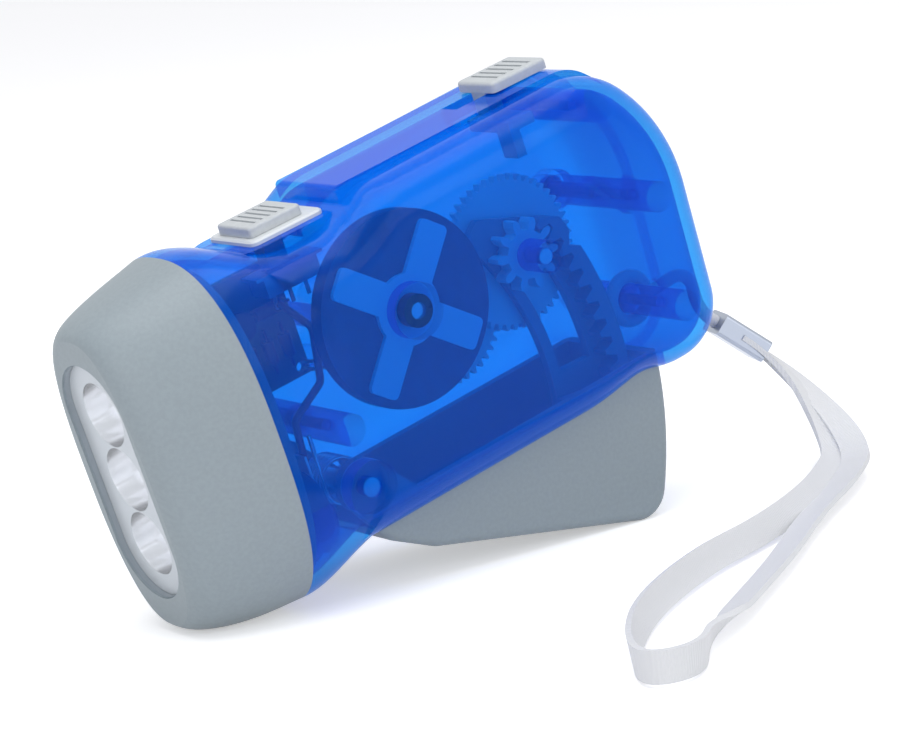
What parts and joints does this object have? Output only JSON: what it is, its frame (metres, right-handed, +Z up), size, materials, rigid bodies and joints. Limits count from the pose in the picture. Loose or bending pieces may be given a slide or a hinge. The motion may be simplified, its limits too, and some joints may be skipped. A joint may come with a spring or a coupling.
{
  "type": "hand crank flashlight",
  "caption": "Squeeze-powered dynamo torch with a translucent housing, an oval three-lamp head, a geared hand lever with lock, a slide switch and a wrist strap.",
  "frame": {"origin": "middle of the torch's bounding box on the floor it stands on, without the strap", "axes": "+X from the lamp head to the tail, +Z up, -Y the side with the flywheel; the torch stands nose down on its bezel and its lever"},
  "size_m": [0.1348, 0.1037, 0.0758],
  "materials": {
    "housing_blue": "translucent blue",
    "screw_steel": "bright",
    "bezel_plastic": "fine matt",
    "lens_clear": "clear",
    "reflector_chrome": "vacuum metallised",
    "lamp_epoxy": "water clear",
    "board_green": "solder resist",
    "plate_pale": "fine matt",
    "switch_tin": "tinned",
    "axle_steel": "ground",
    "spring_steel": "drawn wire",
    "bush_dark": "matt",
    "stator_steel": "zinc plated",
    "bobbin_plastic": "moulded",
    "winding_copper": "enamelled wire",
    "cell_sleeve": "sleeved",
    "clip_nickel": "nickel",
    "board_part_black": "moulded",
    "wire_red": "vinyl",
    "wire_black": "vinyl",
    "strap_white": "woven tape",
    "crimp_steel": "nickel plated",
    "lever_plastic": "fine matt",
    "gear_nylon": "natural",
    "flywheel_steel": "plated",
    "cross_nylon": "natural",
    "magnet_ferrite": "ferrite",
    "button_grey": "fine matt"
  },
  "bodies": {
    "frame": {"left_housing": "housing_blue", "right_housing": "housing_blue", "housing_screws": "screw_steel", "head_bezel": "bezel_plastic", "lens": "lens_clear", "reflector": "reflector_chrome", "lamps": "lamp_epoxy", "lamp_board": "board_green", "switch_plate": "plate_pale", "switch_body": "switch_tin", "lever_pin": "axle_steel", "return_spring": "spring_steel", "second_axle": "axle_steel", "flywheel_bush": "bush_dark", "stator_frame": "stator_steel", "coil_bobbin": "bobbin_plastic", "coil_winding": "winding_copper", "battery_cell": "cell_sleeve", "cell_clips": "clip_nickel", "main_board": "board_green", "board_parts": "board_part_black", "red_wire": "wire_red", "black_wire": "wire_black", "lamp_wire": "wire_red", "coil_wires": "winding_copper", "strap_string": "strap_white", "strap_crimp": "crimp_steel", "wrist_strap": "strap_white"},
    "lever": {"squeeze_lever": "lever_plastic"},
    "first_gear_set": {"first_axle": "axle_steel", "first_gear": "gear_nylon"},
    "second_gear_set": {"second_gear": "gear_nylon"},
    "rotor": {"flywheel_axle": "axle_steel", "flywheel": "flywheel_steel", "rotor_cross": "cross_nylon", "magnet_ring": "magnet_ferrite", "third_pinion": "gear_nylon"},
    "switch": {"switch_button": "button_grey"},
    "lock": {"lock_slider": "button_grey"}
  },
  "joints": [
    {"name": "lever_squeeze", "type": "hinge", "parent": "frame", "child": "lever", "pos_m": [-0.01511, 0, 0.01804], "axis": [0, -1, 0], "range_deg": [0, 20], "stiffness_Nm_per_rad": 0.15, "springref_deg": -57.3, "deforming": ["return_spring"]},
    {"name": "first_gear_turn", "type": "hinge", "parent": "frame", "child": "first_gear_set", "pos_m": [0.0217, 0, 0.04646], "axis": [0, -1, 0], "range_deg": [0, 206]},
    {"name": "second_gear_turn", "type": "hinge", "parent": "frame", "child": "second_gear_set", "pos_m": [0.0092, 0, 0.03816], "axis": [0, -1, 0], "range_deg": [-824, 0]},
    {"name": "flywheel_turn", "type": "hinge", "parent": "frame", "child": "rotor", "pos_m": [-0.00346, 0, 0.04283], "axis": [0, -1, 0], "range_deg": [0, 2884]},
    {"name": "switch_slide", "type": "slide", "parent": "frame", "child": "switch", "axis": [0.9725, 0, 0.233], "range_m": [0, 0.002]},
    {"name": "lock_slide", "type": "slide", "parent": "frame", "child": "lock", "axis": [-0.9725, 0, -0.233], "range_m": [0, 0.0046]}
  ],
  "couplings": [
    {"joint": "first_gear_turn", "follows": "lever_squeeze", "ratio": 10.3},
    {"joint": "second_gear_turn", "follows": "lever_squeeze", "ratio": -41.2},
    {"joint": "flywheel_turn", "follows": "lever_squeeze", "ratio": 144.2}
  ]
}
